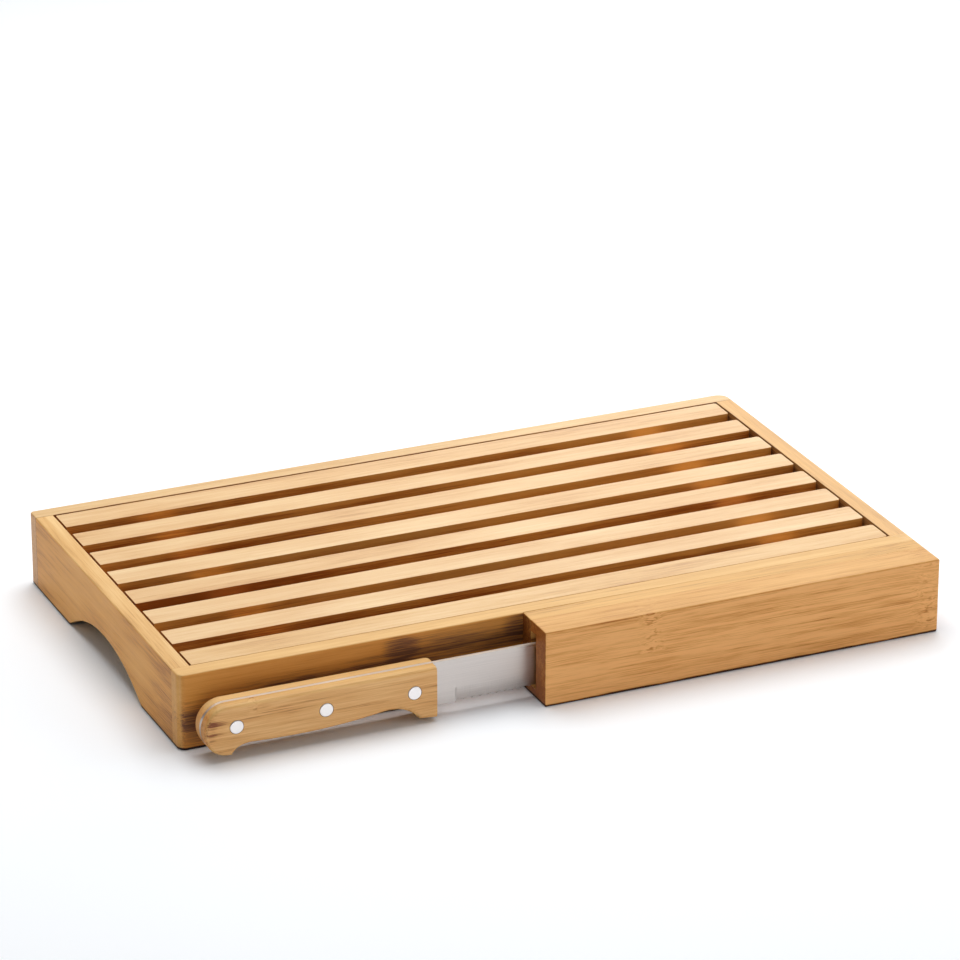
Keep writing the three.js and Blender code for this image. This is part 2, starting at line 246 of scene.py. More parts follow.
class Blank:
    """A block of material that is cut, rounded and eased like a board on a bench."""

    def __init__(self, mesh: bmesh.types.BMesh) -> None:
        """Takes over a closed mesh in millimetres."""
        self.mesh = mesh

    @classmethod
    def block(cls, low: Vector, high: Vector) -> "Blank":
        """Makes a square block.

        Args:
            low: Lowest corner.
            high: Highest corner.

        Returns:
            The block.
        """
        mesh = bmesh.new()
        bmesh.ops.create_cube(mesh, size=1)
        bmesh.ops.scale(mesh, vec=high - low, verts=mesh.verts[:])
        bmesh.ops.translate(mesh, vec=(high + low) / 2, verts=mesh.verts[:])
        return cls(mesh)

    @classmethod
    def rod(cls, radius: float, start: Vector, end: Vector) -> "Blank":
        """Makes a rod along Y, for boring holes.

        Args:
            radius: Radius of the rod.
            start: Centre of one end.
            end: Centre of the other end.

        Returns:
            The rod.
        """
        mesh = bmesh.new()
        place = Matrix.Translation((start + end) / 2) @ Matrix.Rotation(math.pi / 2, 4, "X")
        bmesh.ops.create_cone(
            mesh, cap_ends=True, segments=TURNED_STEPS, radius1=radius, radius2=radius,
            depth=(end - start).length, matrix=place)
        return cls(mesh)

    def _round(self, edges: list[bmesh.types.BMEdge], width: float, segments: int) -> None:
        """Rounds edges.

        Args:
            edges: The edges.
            width: Width taken off each face.
            segments: Number of faces over an edge.
        """
        bmesh.ops.bevel(
            self.mesh, geom=edges, offset=width, offset_type="OFFSET", segments=segments,
            profile=0.5, affect="EDGES", clamp_overlap=False, material=-1)

    def round_post(self, x: float, y: float, radius: float, segments: int = 10) -> None:
        """Rounds the upright edge at one corner.

        Args:
            x: Place of the corner along X.
            y: Place of the corner along Y.
            radius: Radius of the round.
            segments: Number of faces over the round.
        """
        corner = Vector((x, y))
        self._round([e for e in self.mesh.edges if all(
            (v.co.xy - corner).length < TOLERANCE for v in e.verts)], radius, segments)

    def split_at(self, places: Iterable[float], normal: Vector) -> None:
        """Cuts edge rows into the skin without parting it.

        Args:
            places: Distances along the normal.
            normal: Direction square to the cuts.
        """
        for place in places:
            geometry = self.mesh.verts[:] + self.mesh.edges[:] + self.mesh.faces[:]
            bmesh.ops.bisect_plane(
                self.mesh, geom=geometry, dist=TOLERANCE, plane_co=normal * place,
                plane_no=normal)

    def ease(self, width: float, segments: int = 3,
             free: Callable[[Vector], bool] = lambda middle: True) -> None:
        """Takes the sharpness off the edges.

        Args:
            width: Width taken off each face.
            segments: Number of faces over the edge.
            free: Says of the middle of an edge whether it is worked.
        """
        self._round([
            e for e in self.mesh.edges
            if e.is_manifold and e.calc_face_angle(0.0) > SHARP_EDGE
            and free((e.verts[0].co + e.verts[1].co) / 2)], width, segments)

    def carve(self, *cutters: "Blank") -> None:
        """Cuts other blanks, which are used up, out of this one.

        Args:
            cutters: What is taken away.
        """
        body, *tools = [add_mesh("blank", blank.mesh) for blank in (self, *cutters)]
        for tool in tools:
            cut = body.modifiers.new("cut", "BOOLEAN")
            cut.operation = "DIFFERENCE"
            cut.solver = "EXACT"
            cut.object = tool
        self.mesh = carved = bmesh.new()
        carved.from_mesh(body.evaluated_get(bpy.context.evaluated_depsgraph_get()).to_mesh())
        for used in (body, *tools):
            mesh = used.data
            bpy.data.objects.remove(used)
            bpy.data.meshes.remove(mesh)
        bmesh.ops.remove_doubles(carved, verts=carved.verts[:], dist=TOLERANCE / 10)
        bmesh.ops.dissolve_limit(
            carved, angle_limit=FLAT, verts=carved.verts[:], edges=carved.edges[:])


class Channel:
    """A number that a shader works out, which can be used in sums."""

    def __init__(self, shader: "Shader", socket: Socket) -> None:
        """Wraps the output of a node."""
        self.shader = shader
        self.socket = socket

    def _math(self, operation: str, *terms: "Channel | float") -> "Channel":
        """Adds a Math node and gives its result."""
        made = self.shader.node("ShaderNodeMath", {"operation": operation}, dict(enumerate(terms)))
        return Channel(self.shader, made.outputs["Value"])

    def __add__(self, other: "Channel | float") -> "Channel":
        """Gives the sum."""
        return self._math("ADD", self, other)

    def __sub__(self, other: "Channel | float") -> "Channel":
        """Gives the difference."""
        return self._math("SUBTRACT", self, other)

    def __rsub__(self, other: float) -> "Channel":
        """Gives a plain number less this one."""
        return self._math("SUBTRACT", other, self)

    def __mul__(self, other: "Channel | float") -> "Channel":
        """Gives the product."""
        return self._math("MULTIPLY", self, other)

    __radd__ = __add__
    __rmul__ = __mul__

    def __truediv__(self, other: "Channel | float") -> "Channel":
        """Gives the quotient."""
        return self._math("DIVIDE", self, other)

    def __abs__(self) -> "Channel":
        """Gives the size without its sign."""
        return self._math("ABSOLUTE", self)

    def at_least(self, other: "Channel | float") -> "Channel":
        """Gives the larger of two values."""
        return self._math("MAXIMUM", self, other)

    def raised(self, power: float) -> "Channel":
        """Gives the value raised to a power."""
        return self._math("POWER", self, power)

    def rise(self, start: float, end: float) -> "Channel":
        """Gives a soft step.

        Args:
            start: Value where the result is 0.
            end: Value where the result is 1; it may lie below start.

        Returns:
            The step between 0 and 1.
        """
        made = self.shader.node(
            "ShaderNodeMapRange", {"interpolation_type": "SMOOTHSTEP", "clamp": True},
            {"Value": self, "From Min": start, "From Max": end, "To Min": 0.0, "To Max": 1.0})
        return Channel(self.shader, made.outputs["Result"])


class Shader:
    """A material's node tree, written as a short program."""

    def __init__(self, name: str) -> None:
        """Starts an empty material.

        Args:
            name: Name of the material.
        """
        self.material = bpy.data.materials.new(name)
        self.material.use_nodes = True
        self.tree = self.material.node_tree
        self.tree.nodes.clear()

    def node(self, kind: str, settings: dict[str, object] | None = None,
             inputs: dict[str | int, object] | None = None) -> bpy.types.Node:
        """Adds a node.

        Args:
            kind: Type of the node.
            settings: Its properties, and "stops" for the colours of a ramp.
            inputs: Values or links of its sockets, by name or number.

        Returns:
            The node.
        """
        made = self.tree.nodes.new(kind)
        for key, value in (settings or {}).items():
            if key == "stops":
                self._fill_ramp(made.color_ramp, value)
            else:
                setattr(made, key, value)
        for key, value in (inputs or {}).items():
            socket = made.inputs[key]
            source = value.socket if isinstance(value, Channel) else value
            if isinstance(source, Socket):
                self.tree.links.new(source, socket)
            else:
                socket.default_value = source
        return made

    @staticmethod
    def _fill_ramp(ramp: bpy.types.ColorRamp, stops: Sequence[tuple[float, Colour]]) -> None:
        """Sets the stops of a ramp.

        Args:
            ramp: The ramp.
            stops: Place and colour of each stop, in order.
        """
        while len(ramp.elements) < len(stops):
            ramp.elements.new(1.0)
        for element, (place, colour) in zip(ramp.elements, stops):
            element.position = place
            element.color = (*colour, 1.0)

    def mapped(self, vector: Socket, **moves: Sequence[float]) -> Socket:
        """Moves, turns and scales a vector by the named inputs of a Mapping node."""
        made = self.node("ShaderNodeMapping", {"vector_type": "POINT"}, {"Vector": vector, **moves})
        return made.outputs["Vector"]

    def place(self, **moves: Sequence[float]) -> tuple[Socket, Socket]:
        """Gives the place on the piece in millimetres, and the way that its face looks."""
        where = self.node("ShaderNodeTexCoord").outputs
        return self.mapped(where["Object"], Scale=(1 / MM,) * 3, **moves), where["Normal"]

    def parts(self, vector: Socket) -> list[Channel]:
        """Gives the three numbers of a vector."""
        made = self.node("ShaderNodeSeparateXYZ", {}, {"Vector": vector})
        return [Channel(self, socket) for socket in made.outputs]

    def joined(self, **parts: Channel) -> Socket:
        """Makes a vector of the numbers X, Y and Z."""
        return self.node("ShaderNodeCombineXYZ", {}, parts).outputs["Vector"]

    def noise(self, vector: Socket, scale: Sequence[float], detail: float = 2.0,
              distortion: float = 0.0, roughness: float = 0.5) -> Channel:
        """Adds a noise that may be drawn out along an axis.

        Args:
            vector: Where the pattern is read.
            scale: Turns of the pattern per millimetre along each axis.
            detail: Octaves of finer noise.
            distortion: How far the pattern is stirred.
            roughness: Strength of the finer octaves.

        Returns:
            A value about 0.5.
        """
        made = self.node(
            "ShaderNodeTexNoise", {"noise_dimensions": "3D"},
            {"Vector": self.mapped(vector, Scale=scale), "Scale": 1.0, "Detail": detail,
             "Distortion": distortion, "Roughness": roughness})
        return Channel(self, made.outputs["Fac"])

    def mix(self, mask: Channel, below: object, above: object, blend: str = "MIX") -> Socket:
        """Lays one colour over another where a mask is 1.

        Args:
            mask: The mask.
            below: Lower colour, as a socket or as four numbers.
            above: Upper colour, in the same way.
            blend: How the upper colour is laid on.

        Returns:
            The colour.
        """
        made = self.node("ShaderNodeMix", {"data_type": "RGBA", "blend_type": blend},
                         {"Factor": mask, "A": below, "B": above})
        return made.outputs["Result"]

    def relief(self, height: Channel, depth: float, strength: float) -> Socket:
        """Raises a relief.

        Args:
            height: Its height.
            depth: What a height of 1 stands for, in millimetres.
            strength: How much of it is used.

        Returns:
            The normal of the surface.
        """
        made = self.node("ShaderNodeBump", {}, {
            "Strength": strength, "Distance": depth * MM, "Height": height})
        return made.outputs["Normal"]

    def surface(self, inputs: dict[str, object]) -> bpy.types.Material:
        """Ends the material in a Principled shader.

        Args:
            inputs: Values or links of its sockets, by name.

        Returns:
            The material.
        """
        shader = self.node("ShaderNodeBsdfPrincipled", {}, inputs)
        self.node("ShaderNodeOutputMaterial", {}, {"Surface": shader.outputs["BSDF"]})
        return self.material


@dataclass(frozen=True)
class Seam:
    """A glue seam between two strips of a board.

    Attributes:
        lay: How it lies.
        place: Where it is, in millimetres.
        step: How much lighter the strip past it is.
        line: How dark its line is.
    """

    lay: Lay
    place: float
    step: float = 0.0
    line: float = 0.1


@dataclass(frozen=True)
class Knot:
    """The mark that a joint of the bamboo cane leaves across a strip.

    Attributes:
        along: Its place along the fibres, in millimetres.
        low: Where it starts, in height.
        high: Where it ends, in height.
        depth: How dark it is.
        width: Half of its width along the fibres.
    """

    along: float
    low: float
    high: float
    depth: float
    width: float

    def draw(self, shader: Shader, cut: Socket, along: Channel,
             height: Channel) -> tuple[Channel, Channel]:
        """Draws the mark: a column of short ripples, dark with pale rims.

        Args:
            shader: The material that is written.
            cut: Where patterns are read.
            along: Place along the fibres.
            height: Height on the piece.

        Returns:
            How much darker the mark is, and how deep.
        """
        off = abs(along - self.along)
        band = off.rise(self.width, self.width * 0.5)
        inside_strip = height.rise(self.low - 0.5, self.low + 0.5) * height.rise(
            self.high + 0.5, self.high - 0.5)
        ripple = shader.noise(cut, (0.15, 0.05, 0.6), detail=0.5)
        dark = abs(ripple - 0.48).rise(0.075, 0.01)
        pale = abs(ripple - 0.6).rise(0.09, 0.0)
        fade = off.rise(self.width * 2.2, 0.0)
        mark = inside_strip * (band * (dark - pale * 0.7) - fade * 0.2) * self.depth
        return mark, band * inside_strip * dark


@dataclass(frozen=True)
class StainAndShade:
    """A patch that runs out along the fibres, used both for real brown stains and for painted shade
    and painted light.

    Attributes:
        along: Its middle along the fibres, in millimetres.
        height: Its middle in height.
        reach: Half of its length.
        spread: Half of its height.
        depth: How dark it is; a pale patch has less than nothing.
        ragged: How much its rim follows the fibres.
    """

    along: float
    height: float
    reach: float
    spread: float
    depth: float
    ragged: float = 1.0

    def draw(self, along: Channel, height: Channel, streak: Channel, fibre: Channel) -> Channel:
        """Draws the patch.

        Args:
            along: Place along the fibres.
            height: Height on the piece.
            streak: The broad streaks, which the patch follows.
            fibre: The fine fibres, which it follows too.

        Returns:
            How much darker it is.
        """
        off = ((abs(along - self.along) / self.reach).raised(2.0)
               + (abs(height - self.height) / self.spread).raised(2.0))
        rim = off + ((streak - 0.5) * 1.1 + (fibre - 0.5) * 0.6) * self.ragged
        return rim.rise(1.5, -0.3) * (0.9 + fibre.rise(0.6, 0.4) * 0.15) * self.depth


@dataclass(frozen=True)
class Bamboo:
    """Oiled bamboo: fibres, strips, seams, cane joints, stains and end grain, with painted shade
    and painted light on the upright faces and a painted contact shadow at the foot.

    Attributes:
        grain: The way the fibres run.
        tone: Lightness in the middle of the range.
        deep: Colour of the darkest fibres.
        body: Colour between them.
        pale: Colour of the lightest fibres.
        foot_shadow_tone: How much of the darkest colour is left in the painted contact shadow along
            the foot.
        clouds: Strength of the soft mottling.
        streaks: Strength of the broad streaks.
        fibres: Strength of the fine fibres.
        flecks: Strength of the short dark bundles.
        end_grain: How much darker the cut ends are.
        end_tint: Colour that the cut ends are stained with.
        flank_shade: Painted shade on the upright faces along the fibres; less than nothing is
            painted light.
        flank_shade_tint: Colour cast painted on them for the light that falls on them.
        flank_figure: How much stronger their figure is.
        foot: How dark the painted contact shadow along the lowest edge is.
        seams: Glue seams.
        knots: Marks of cane joints.
        stains_and_shade: Patches along the fibres: real brown stains, painted shade and painted
            light.
        roughness: Roughness of the oiled ground.
        shine: Specular level.
        seed: Which part of the pattern the piece is cut from.
    """

    grain: Grain = Grain.ALONG_X
    tone: float = 0.5
    deep: Colour = (0.23, 0.074, 0.012)
    body: Colour = (0.62, 0.31, 0.085)
    pale: Colour = (0.80, 0.48, 0.175)
    foot_shadow_tone: float = 0.12
    clouds: float = 0.5
    streaks: float = 0.55
    fibres: float = 0.6
    flecks: float = 0.2
    end_grain: float = 0.06
    end_tint: Colour = (1.0, 0.82, 0.68)
    flank_shade: float = 0.0
    flank_shade_tint: Colour = (1.0, 0.92, 0.8)
    flank_figure: float = 1.0
    foot: float = 1.0
    seams: tuple[Seam, ...] = ()
    knots: tuple[Knot, ...] = ()
    stains_and_shade: tuple[StainAndShade, ...] = ()
    roughness: float = 0.46
    shine: float = 0.32
    seed: int = 0

    def build(self, name: str) -> bpy.types.Material:
        """Writes the material.

        Args:
            name: Name of the material.

        Returns:
            The material.
        """
        shader = Shader(name)
        place, normal = shader.place(Rotation=(0.0, 0.0, self.grain.turn()))
        along, across, height = shader.parts(place)
        cut = self._cut(shader, place, along, across, height)

        clouds = shader.noise(cut, Figure.CLOUDS.scale())
        streak = shader.noise(cut, Figure.STREAKS.scale(), detail=3.0, distortion=0.15)
        fibre = shader.noise(cut, Figure.FIBRES.scale(), roughness=0.6)
        thread = shader.noise(cut, Figure.THREADS.scale(), detail=1.0)
        bundle = shader.noise(cut, Figure.BUNDLES.scale(), detail=1.0)
        band = shader.noise(cut, Figure.BANDS.scale(), detail=1.0)
        flecks = bundle.rise(0.58, 0.72) * band.rise(0.38, 0.62)
        ends, flanks = self._facing(shader, normal)
        figure = ((streak - 0.5) * self.streaks + (fibre - 0.5) * self.fibres
                  + (thread - 0.5) * (self.fibres * 0.4) - flecks * self.flecks)
        tone = (self.tone + (clouds - 0.5) * self.clouds
                + figure * (1.0 + flanks * (self.flank_figure - 1.0)))
        relief = (fibre - 0.5) * 0.5 + (thread - 0.5) * 0.4 - flecks * 0.6

        for seam in self.seams:
            side = (height if seam.lay is Lay.LEVEL else across) - seam.place
            tone = tone + side.rise(-0.1, 0.1) * seam.step
            tone = tone - abs(side).rise(0.5, 0.1) * seam.line
        for knot in self.knots:
            mark, ridge = knot.draw(shader, cut, along, height)
            tone = tone - mark
            relief = relief - ridge
        # Patches darken the upright faces: real stains on some pieces, painted shade and painted
        # light on others.
        for patch in self.stains_and_shade:
            tone = tone - patch.draw(along, height, streak, fibre) * flanks

        pores = shader.node(
            "ShaderNodeTexVoronoi", {"feature": "F1", "voronoi_dimensions": "3D"},
            {"Vector": shader.mapped(cut, Scale=Figure.PORES.scale()), "Scale": 1.0,
             "Randomness": 1.0})
        dots = Channel(shader, pores.outputs["Distance"]).rise(0.42, 0.2)
        # The cut ends are darker end grain; the upright faces along the fibres get painted shade,
        # which turns to painted light where its amount is below nothing.
        tone = tone - ends * (dots * 0.12 + self.end_grain) - flanks * self.flank_shade
        # Painted contact shadow: below 1.7 mm the tone drops under the darkest fibres, into the
        # lowest stop of the ramp.
        tone = tone.at_least(0.1) - height.rise(1.7, 0.9) * self.foot

        # Colour of the painted contact shadow at the foot.
        foot_shadow_tone = tuple(part * self.foot_shadow_tone for part in self.deep)
        colour = shader.node(
            "ShaderNodeValToRGB",
            {"stops": [(0.0, foot_shadow_tone), (0.12, self.deep), (0.5, self.body), (1.0, self.pale)]},
            {"Fac": tone}).outputs["Color"]
        # The upright faces get a painted colour cast for the light on them; the cut ends get the
        # end grain's own colour.
        for mask, tint in ((flanks, self.flank_shade_tint), (ends, self.end_tint)):
            colour = shader.mix(mask, colour, (*tint, 1.0), "MULTIPLY")
        return shader.surface({
            "Base Color": colour,
            "Roughness": self.roughness + (fibre - 0.5) * 0.2 + flecks * 0.1,
            "Normal": shader.relief(relief, 0.12, 0.3),
            "IOR": 1.5,
            "Specular IOR Level": self.shine,
        })

    def _cut(self, shader: Shader, place: Socket, along: Channel, across: Channel,
             height: Channel) -> Socket:
        """Picks where the patterns are read, and bends the fibres round the cane joints.

        Args:
            shader: The material that is written.
            place: Place on the piece in millimetres.
            along: Its part along the fibres.
            across: Its part across them.
            height: Its height.

        Returns:
            The vector for the patterns.
        """
        bend = along * 0.004
        for knot in self.knots:
            near = abs(along - knot.along).rise(knot.width * 2.6, 0.0)
            above = height.rise(knot.low - 1.0, knot.low + 1.0)
            swell = shader.noise(place, Figure.SWELLS.scale(), detail=1.0)
            bend = bend + near * above * (swell - 0.5) * 9.0
        x, y, z = (self.seed * step for step in SEED_STEPS)
        return shader.joined(X=along + x, Y=across + bend + y, Z=height + bend + z)

    def _facing(self, shader: Shader, normal: Socket) -> tuple[Channel, Channel]:
        """Finds the cut ends and the upright faces along the fibres.

        Args:
            shader: The material that is written.
            normal: The way that the face looks.

        Returns:
            1 on faces square to the fibres, and 1 on the upright faces along them.
        """
        turned = shader.node(
            "ShaderNodeVectorRotate", {"rotation_type": "Z_AXIS"},
            {"Vector": normal, "Angle": self.grain.turn()})
        along, across, _ = shader.parts(turned.outputs["Vector"])
        return abs(along).rise(0.55, 0.85), abs(across).rise(0.6, 0.95)


@dataclass(frozen=True)
class GroundSteel:
    """Satin stainless steel, ground in one direction.

    Attributes:
        bevel_start: Place along X where the ground bevel starts, in millimetres.
        bevel_top: Height of its upper edge.
        bevel_shade: How much darker the bevel is painted, as a painted reflection of the shadowed
            floor.
        colour: Colour of the steel.
        dark: What the darkest grinding lines leave of it.
        light: What the lightest make of it.
        top_highlight_colour: Colour of the painted highlight on the faces that look up.
        roughness: Mean roughness.
    """

    bevel_start: float
    bevel_top: float
    bevel_shade: float = 0.03
    colour: Colour = (0.612, 0.562, 0.53)
    dark: float = 0.35
    light: float = 1.12
    top_highlight_colour: Colour = (0.95, 0.80, 0.62)
    roughness: float = 0.34

    def build(self, name: str) -> bpy.types.Material:
        """Writes the material.

        Args:
            name: Name of the material.

        Returns:
            The material.
        """
        shader = Shader(name)
        place, normal = shader.place()
        lines = shader.noise(place, (0.03, 0.5, 5.0), detail=3.0)
        clouds = shader.noise(place, (0.02, 0.05, 0.06))
        scores = shader.noise(place, (5.0, 0.5, 0.12))
        x, _, z = shader.parts(place)
        bevel = ((x - self.bevel_start).rise(-0.3, 0.3)
                 * (z - self.bevel_top).rise(0.15, -0.15))
        # The bevel carries its real grinding scores and, on top, a painted reflection of the
        # shadowed floor that darkens it.
        ground = bevel * ((scores - 0.5) * 0.25 + self.bevel_shade)
        low, high = ([part * share for part in self.colour] for share in (self.dark, self.light))
        shade = shader.mix((lines - 0.5) * 0.5 + 0.8 - ground, (*low, 1.0), (*high, 1.0))
        # Faces that look up get a painted highlight: half way to a warm pale colour, and less
        # metallic.
        top_highlight = shader.parts(normal)[2].rise(0.5, 0.9)
        return shader.surface({
            "Base Color": shader.mix(top_highlight * 0.5, shade, (*self.top_highlight_colour, 1.0)),
            "Metallic": top_highlight * -0.45 + 1.0,
            "Roughness": self.roughness + (lines - 0.5) * 0.22 + (clouds - 0.5) * 0.12,
            "Normal": shader.relief(lines + bevel * (scores - lines), 0.04, 0.12),
        })


@dataclass(frozen=True)
class TurnedMetal:
    """Bright aluminium, turned flat on its face.

    Attributes:
        colour: Colour of the metal.
        roughness: Mean roughness.
    """

    colour: Colour = (0.90, 0.87, 0.86)
    roughness: float = 0.38

    def build(self, name: str, centre: Vector) -> bpy.types.Material:
        """Writes the material.

        Args:
            name: Name of the material.
            centre: Middle of the turning marks, in millimetres.

        Returns:
            The material.
        """
        shader = Shader(name)
        place, _ = shader.place(Location=-centre)
        x, _, z = shader.parts(place)
        radius = shader.node(
            "ShaderNodeVectorMath", {"operation": "LENGTH"}, {0: shader.joined(X=x, Z=z)})
        turns = Channel(shader, radius.outputs["Value"]) * 9.0
        rings = shader.noise(shader.joined(X=turns), (1, 1, 1), detail=1.0)
        scuffs = shader.noise(place, (0.8, 0.8, 0.8))
        return shader.surface({
            "Base Color": (*self.colour, 1.0),
            "Metallic": 1.0,
            "Roughness": self.roughness + (rings - 0.5) * 0.15 + (scuffs - 0.5) * 0.15,
            "Normal": shader.relief(rings, 0.03, 0.2),
        })


@dataclass
class SubAssembly:
    """What the sub-assemblies share.

    Attributes:
        body: CAD body that the pieces ride on.
    """

    body: str

    def show(self, blank: Blank, name: str, material: bpy.types.Material, slot: str,
             node: str) -> None:
        """Publishes a finished blank as a piece of the object.

        Args:
            blank: The blank, in millimetres; it is used up.
            name: Name of the piece.
            material: Its finish.
            slot: Its material slot in the record; it is not used.
            node: CAD node that it stands for.
        """
        bmesh.ops.scale(blank.mesh, vec=(MM, MM, MM), verts=blank.mesh.verts[:])
        piece = add_mesh(name, blank.mesh)
        piece.data.shade_smooth()
        piece.data.set_sharp_from_angle(angle=CREASE)
        piece.data.materials.append(material)
        level = piece.modifiers.new("flat faces", "WEIGHTED_NORMAL")
        level.mode = "FACE_AREA"
        level.keep_sharp = True
        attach(piece, self.body)
        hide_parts(node)
        log.info("%s stands for %s on %s", name, node, self.body)


@dataclass
class BoardFrame(SubAssembly):
    """The rails, end panels and floor of the crumb tray.

    Attributes:
        back_left_round: Radius of the back left corner.
        back_right_round: Radius of the back right corner.
        front_left_round: Radius of the front left corner.
        arch_span: Width of a grip arch.
        arch_rise: Height of a grip arch.
        arch_from_back: Distance of an arch from the back of the board.
        groove_gap: Clearance of the floor in its groove.
        easing: Width taken off the free outer edges.
        inner_easing: Width taken off the edges round the grid.
        close_easing: The same along the front rail, which the last slat lies close to.
        floor_easing: Width taken off the edges of the floor.
        glue_reach: Distance within which an edge counts as glued to a board.
        rim_reach: The same for the rim round the grid.
        neighbours: Box of each fixed board, found from the CAD nodes.
    """

    body: str = "frame"
    back_left_round: float = 2.0
    back_right_round: float = 6.0
    front_left_round: float = 4.0
    arch_span: float = 106.5
    arch_rise: float = 16.0
    arch_from_back: float = 56.5
    groove_gap: float = 0.3
    easing: float = 0.8
    inner_easing: float = 0.14
    close_easing: float = 0.05
    floor_easing: float = 0.3
    glue_reach: float = 0.25
    rim_reach: float = 0.2
    neighbours: dict[str, tuple[Vector, Vector]] = field(init=False)

    def __post_init__(self) -> None:
        """Notes where each fixed board is, to tell glued edges from free ones."""
        self.neighbours = {name: node_box(name) for name in (
            "back_rail", "front_rail", "left_end_panel", "right_end_panel",
            "knife_block_inner", "knife_block_outer")}

    def ease_free_edges(self, blank: Blank, own: str) -> None:
        """Eases the edges that no other board is glued to, parted where one starts or ends.

        Args:
            blank: The board.
            own: Its node.
        """
        others = [box for name, box in self.neighbours.items() if name != own]
        low, high = self.neighbours[own]
        ends = sorted({round(corner.x, 3) for box in others for corner in box})
        blank.split_at([x for x in ends if low.x + self.easing < x < high.x - self.easing],
                       Vector((1, 0, 0)))
        near, far = self.neighbours["left_end_panel"], self.neighbours["right_end_panel"]
        rim = (near[1].x, near[0].y), (far[0].x, far[1].y)

        def free(middle: Vector, on_rim: bool) -> bool:
            """Says whether an edge is unglued, and on the rim round the grid or off it."""
            glued = any(inside(middle, *box, self.glue_reach) for box in others)
            return not glued and on_rim == inside(middle, *rim, self.rim_reach, axes=2)

        width = self.close_easing if own == "front_rail" else self.inner_easing
        blank.ease(width, segments=2, free=lambda middle: free(middle, on_rim=True))
        blank.ease(self.easing, segments=3, free=lambda middle: free(middle, on_rim=False))

    def tray_board(self, blank: Blank, node: str, finish: Bamboo) -> None:
        """Eases a board of the tray, cuts the groove for the floor and publishes it.

        Args:
            blank: The board.
            node: Its node.
            finish: Its bamboo.
        """
        self.ease_free_edges(blank, node)
        low, high = node_box("floor_panel")
        gap = Vector((self.groove_gap,) * 3)
        blank.carve(Blank.block(low - gap, high + gap))
        self.show(blank, f"{node}_board", finish.build(node), "bamboo_frame", node)

    def rail(self, node: str, rounds: Sequence[tuple[float, float, float]],
             finish: Bamboo) -> None:
        """Makes a rail.

        Args:
            node: The rail's node.
            rounds: Place along X and Y and radius of each rounded corner.
            finish: Its bamboo.
        """
        blank = Blank.block(*self.neighbours[node])
        for x, y, radius in rounds:
            blank.round_post(x, y, radius)
        self.tray_board(blank, node, finish)

    def end_panel(self, node: str, finish: Bamboo) -> None:
        """Makes an end panel with its grip arch.

        Args:
            node: The panel's node.
            finish: Its bamboo.
        """
        low, high = self.neighbours[node]
        arch_back = self.neighbours["back_rail"][1].y - self.arch_from_back
        arch_front = arch_back - self.arch_span
        radius, turn = arc_over(self.arch_span, self.arch_rise)
        outline = Outline(Drawing.END, (low.y, 0.0), low.x)
        outline.line((arch_front, 0.0))
        centre = (arch_back + arch_front) / 2, self.arch_rise - radius
        outline.arc(centre, degrees=-turn, steps=48)
        outline.line((high.y, 0.0), (high.y, high.z), (low.y, high.z))
        self.tray_board(outline.thicken(high.x - low.x), node, finish)

    def floor(self) -> None:
        """Makes the floor of the crumb tray."""
        blank = Blank.block(*node_box("floor_panel"))
        blank.ease(self.floor_easing, segments=2)
        strips = ((-60, 0.07), (-38, -0.08), (-16, 0.05), (6, -0.03), (28, 0.06), (50, -0.07),
                  (72, 0.04), (94, -0.05))
        # The dark body of this floor is painted shade for the tray under the grid.
        finish = Bamboo(
            tone=0.34, seed=9, body=(0.42, 0.21, 0.06), pale=(0.6, 0.34, 0.11), foot=0.0,
            seams=tuple(Seam(Lay.UPRIGHT, y, step, 0.08) for y, step in strips))
        self.show(blank, "crumb_tray_floor", finish.build("tray_floor"), "bamboo_underparts",
                  "floor_panel")

    def build(self) -> None:
        """Makes every board of the frame."""
        (left, _, _), (right, back, _) = self.neighbours["back_rail"]
        front = self.neighbours["front_rail"][0].y
        self.rail("back_rail", [(left, back, self.back_left_round),
                                (right, back, self.back_right_round)], Bamboo(
            tone=0.62, seed=1, body=(0.61, 0.365, 0.145), pale=(0.77, 0.555, 0.29), shine=0.45,
            # Its upright faces get a painted colour cast for the light on them, and the line at
            # 112.1 mm lies on the inner face as painted shade in the gap behind the grid.
            flank_shade_tint=(1.0, 0.86, 0.66),
            seams=(Seam(Lay.LEVEL, 21.0, 0.04, 0.08), Seam(Lay.UPRIGHT, 112.1, 0.0, 0.4))))
        self.rail("front_rail", [(left, front, self.front_left_round)], Bamboo(
            # The greyish deep colour suits the painted shade on this rail; its front face gets a
            # little painted shade and a reddish painted cast for the light in the recess behind the
            # knife.
            tone=0.62, seed=2, deep=(0.18, 0.102, 0.084), body=(0.645, 0.37, 0.124),
            pale=(0.79, 0.51, 0.215), flank_shade=0.03, flank_shade_tint=(0.98, 0.70, 0.39), flecks=0.08,
            end_grain=0.0, end_tint=(1.0, 0.84, 0.6), shine=0.22,
            seams=(Seam(Lay.UPRIGHT, -89.0, -0.05, 0.04), Seam(Lay.LEVEL, 19.3, 0.14, 0.05)),
            # From the first: a real dark blotch; painted shade low on the right behind the blade;
            # painted shade in the corner by the block; painted shade behind the handle; a painted
            # shadow just above the handle; and a dark patch at the left end, part real stain and
            # part painted shade beside the butt.
            stains_and_shade=(StainAndShade(-84.0, 34.0, 10.0, 10.0, 0.38, 0.4),
                    StainAndShade(-60.0, 26.0, 54.0, 12.5, 0.50, 0.3),
                    StainAndShade(-20.0, 36.0, 10.0, 10.0, 0.42, 0.3),
                    StainAndShade(-150.0, 20.0, 75.0, 13.0, 0.26, 0.5),
                    StainAndShade(-130.0, 22.0, 62.0, 8.0, 0.36, 0.3),
                    StainAndShade(-191.0, 10.5, 12.0, 9.5, 0.34, 0.3))))
